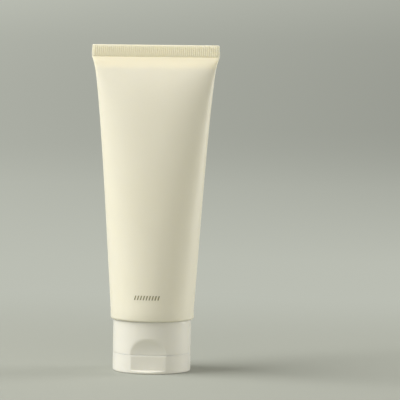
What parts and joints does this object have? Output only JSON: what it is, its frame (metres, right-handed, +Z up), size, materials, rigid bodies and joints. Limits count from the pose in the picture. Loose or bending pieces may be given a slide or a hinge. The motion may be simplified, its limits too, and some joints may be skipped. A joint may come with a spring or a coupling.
{
  "type": "cosmetic squeeze tube",
  "caption": "Squeeze tube with a flat crimped end, standing on a flip-top cap whose lid swings open on a living hinge.",
  "frame": {"origin": "centre of the flat end of the closed lid, on which the tube stands", "axes": "+Z up along the tube from the cap to the crimp, -Y the front with the thumb recess, +Y the hinge side, X along the crimp"},
  "size_m": [0.0632, 0.0406, 0.1591],
  "materials": {
    "sleeve_film": "satin polyethylene sleeve, cream",
    "shoulder_plastic": "natural high-density polyethylene, as moulded",
    "cap_plastic": "white polypropylene, semi-gloss as moulded",
    "cream": "thick white lotion, the contents"
  },
  "bodies": {
    "tube": {"tube_sleeve": "sleeve_film", "tube_shoulder": "shoulder_plastic", "cream_fill": "cream", "cap_base": "cap_plastic"},
    "lid": {"cap_lid": "cap_plastic"}
  },
  "joints": [
    {"name": "lid_hinge", "type": "hinge", "parent": "tube", "child": "lid", "pos_m": [0, 0.01735, 0.00907], "axis": [1, 0, 0], "range_deg": [0, 150]}
  ]
}
